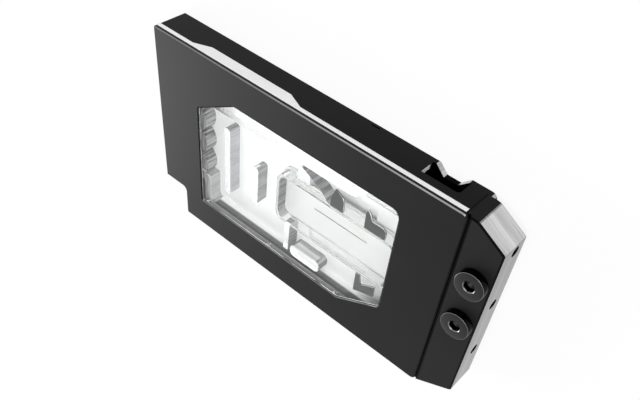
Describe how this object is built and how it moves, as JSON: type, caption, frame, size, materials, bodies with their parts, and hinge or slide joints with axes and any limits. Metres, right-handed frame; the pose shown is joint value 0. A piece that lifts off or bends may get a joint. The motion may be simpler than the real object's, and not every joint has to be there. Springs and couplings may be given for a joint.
{
  "type": "gpu water block",
  "caption": "Full-cover water block for a graphics card: flat black faceplate with a window over clear flow channels, light bar on one edge, ported terminal at one end.",
  "frame": {"origin": "middle of the footprint, on the plane of the rear rim that the block lies on", "axes": "+X along the block towards the terminal, +Y towards the light bar's edge, +Z out of the faceplate"},
  "size_m": [0.245, 0.135, 0.0289],
  "materials": {
    "black_anodised": "fine bead-blasted black anodising on milled aluminium, bright chamfers",
    "opal_acrylic": "opal white acrylic light guide",
    "board_white": "white solder mask",
    "lamp_resin": "lamp packages with clear resin",
    "black_frame": "smooth black anodised aluminium frame, the cuts for the power plugs bare",
    "black_acetal": "satin milled black acetal",
    "clear_acrylic": "polished clear acrylic",
    "seal_rubber": "translucent silicone",
    "steel_sheet": "fine ground stainless sheet",
    "nickel_plate": "bright nickel over milled copper",
    "screw_steel": "plain steel screws",
    "standoff_brass": "turned brass",
    "terminal_metal": "black anodised, with bright milled end faces",
    "screw_black": "black oxide",
    "plug_black": "turned, black plated",
    "ring_rubber": "black rubber"
  },
  "bodies": {
    "root": {"faceplate": "black_anodised", "light_bar": "opal_acrylic", "led_board": "board_white", "led_chips": "lamp_resin", "housing": "black_frame", "window_block": "clear_acrylic", "upper_left_baffle": "black_acetal", "upper_right_baffle": "black_acetal", "lower_baffle": "black_acetal", "main_seal": "seal_rubber", "jet_gasket": "seal_rubber", "jet_plate": "steel_sheet", "cold_plate": "nickel_plate", "plate_screws": "screw_steel", "faceplate_screws": "screw_steel", "standoffs": "standoff_brass", "terminal": "terminal_metal", "terminal_screws": "screw_black", "inlet_port_seal": "seal_rubber", "inlet_stop_plug": "plug_black", "inlet_plug_ring": "ring_rubber", "outlet_port_seal": "seal_rubber", "outlet_stop_plug": "plug_black", "outlet_plug_ring": "ring_rubber"}
  },
  "joints": []
}
